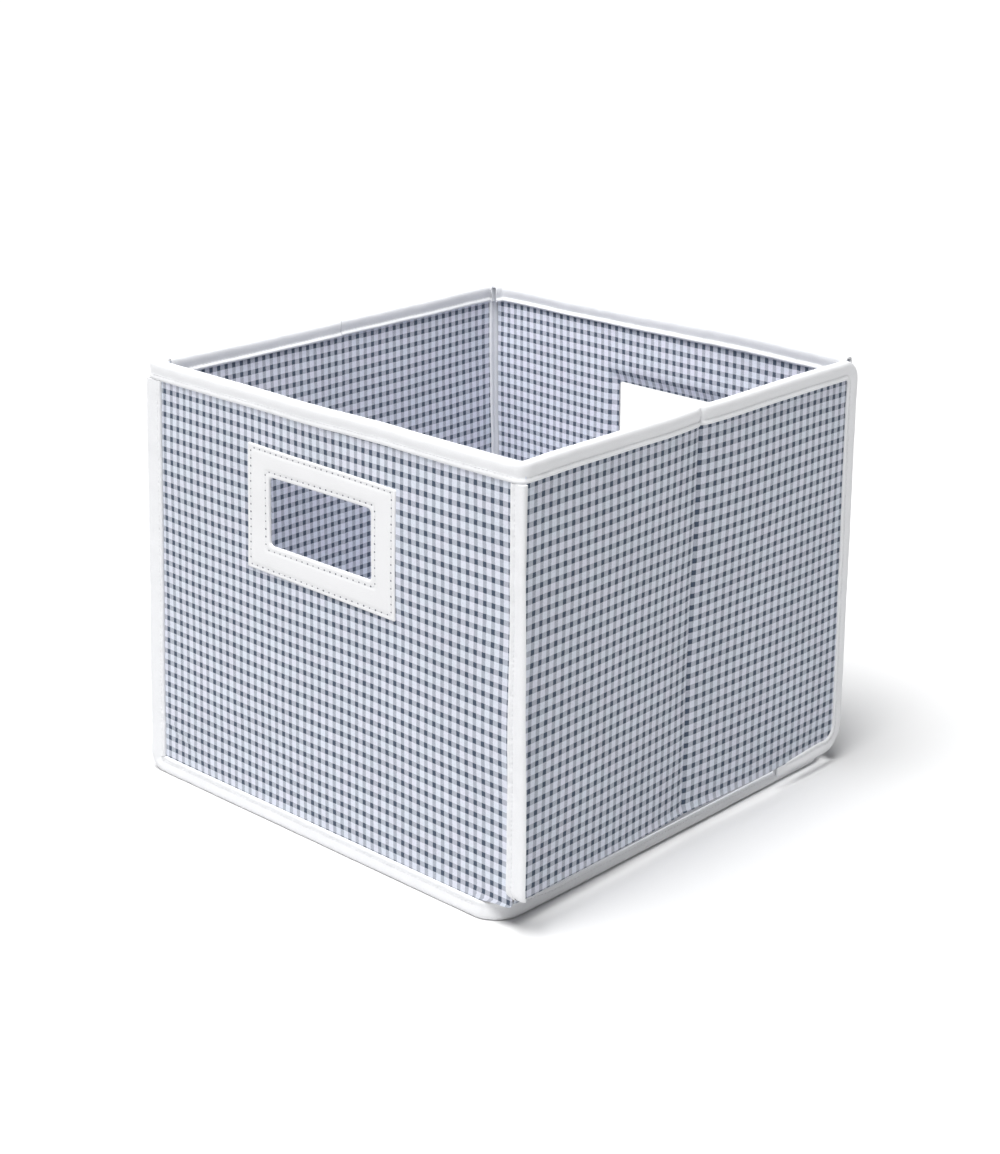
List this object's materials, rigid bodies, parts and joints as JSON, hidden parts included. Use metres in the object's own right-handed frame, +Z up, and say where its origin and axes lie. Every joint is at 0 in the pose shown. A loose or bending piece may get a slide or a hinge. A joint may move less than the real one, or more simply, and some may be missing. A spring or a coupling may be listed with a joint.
{
  "type": "fabric storage bin",
  "caption": "Square open-topped storage bin with stiffened cloth walls, bound edges, hand holes and creased sides that fold flat over a hinged base.",
  "frame": {"origin": "on the floor, at the middle of the bin's width and depth", "axes": "+X along the front wall to its right, +Y from the front wall to the back wall, +Z up"},
  "size_m": [0.324, 0.3186, 0.28],
  "materials": {
    "gingham_cloth": "woven cotton check, matte",
    "gingham_lining": "woven cotton check, matte",
    "binding_tape": "white bias tape, soft sheen",
    "handle_leather": "white coated leather cloth, satin",
    "stiffener_board": "grey pressed board, matte",
    "base_cloth": "plain white cotton, matte"
  },
  "bodies": {
    "front_wall": {"front_board": "stiffener_board", "front_outer_cloth": "gingham_cloth", "front_lining": "gingham_lining", "front_handle_frame": "handle_leather", "front_rim_binding": "binding_tape", "front_edge_binding": "binding_tape", "front_right_corner_binding": "binding_tape"},
    "right_front_half": {"right_front_board": "stiffener_board", "right_front_outer_cloth": "gingham_cloth", "right_front_lining": "gingham_lining", "right_front_rim_binding": "binding_tape"},
    "right_rear_half": {"right_rear_board": "stiffener_board", "right_rear_outer_cloth": "gingham_cloth", "right_rear_lining": "gingham_lining", "right_rear_binding": "binding_tape"},
    "left_front_half": {"left_front_board": "stiffener_board", "left_front_outer_cloth": "gingham_cloth", "left_front_lining": "gingham_lining", "left_front_rim_binding": "binding_tape"},
    "left_rear_half": {"left_rear_board": "stiffener_board", "left_rear_outer_cloth": "gingham_cloth", "left_rear_lining": "gingham_lining", "left_rear_binding": "binding_tape"},
    "back_wall": {"back_board": "stiffener_board", "back_outer_cloth": "gingham_cloth", "back_lining": "gingham_lining", "back_handle_frame": "handle_leather", "back_rim_binding": "binding_tape"},
    "base": {"base_board": "stiffener_board", "base_top_cloth": "gingham_lining", "base_bottom_cloth": "base_cloth", "base_binding": "binding_tape"}
  },
  "joints": [
    {"name": "fold", "type": "hinge", "parent": "front_wall", "child": "right_front_half", "pos_m": [0.1531, -0.1529, 0], "axis": [0, 0, 1], "range_deg": [0, 88]},
    {"name": "right_crease", "type": "hinge", "parent": "right_front_half", "child": "right_rear_half", "pos_m": [0.1592, 0, 0], "axis": [0, 0, -1], "range_deg": [0, 176]},
    {"name": "back_right_corner", "type": "hinge", "parent": "right_rear_half", "child": "back_wall", "pos_m": [0.1531, 0.1529, 0], "axis": [0, 0, 1], "range_deg": [0, 88]},
    {"name": "front_left_corner", "type": "hinge", "parent": "front_wall", "child": "left_front_half", "pos_m": [-0.1531, -0.1529, 0], "axis": [0, 0, -1], "range_deg": [0, 88]},
    {"name": "left_crease", "type": "hinge", "parent": "left_front_half", "child": "left_rear_half", "pos_m": [-0.1592, 0, 0], "axis": [0, 0, 1], "range_deg": [0, 176]},
    {"name": "base_flap", "type": "hinge", "parent": "front_wall", "child": "base", "pos_m": [0, -0.1596, -0.0003], "axis": [-1, 0, 0], "range_deg": [0, 268]}
  ],
  "couplings": [
    {"joint": "right_crease", "follows": "fold", "ratio": 2},
    {"joint": "back_right_corner", "follows": "fold", "ratio": 1},
    {"joint": "front_left_corner", "follows": "fold", "ratio": 1},
    {"joint": "left_crease", "follows": "fold", "ratio": 2}
  ]
}
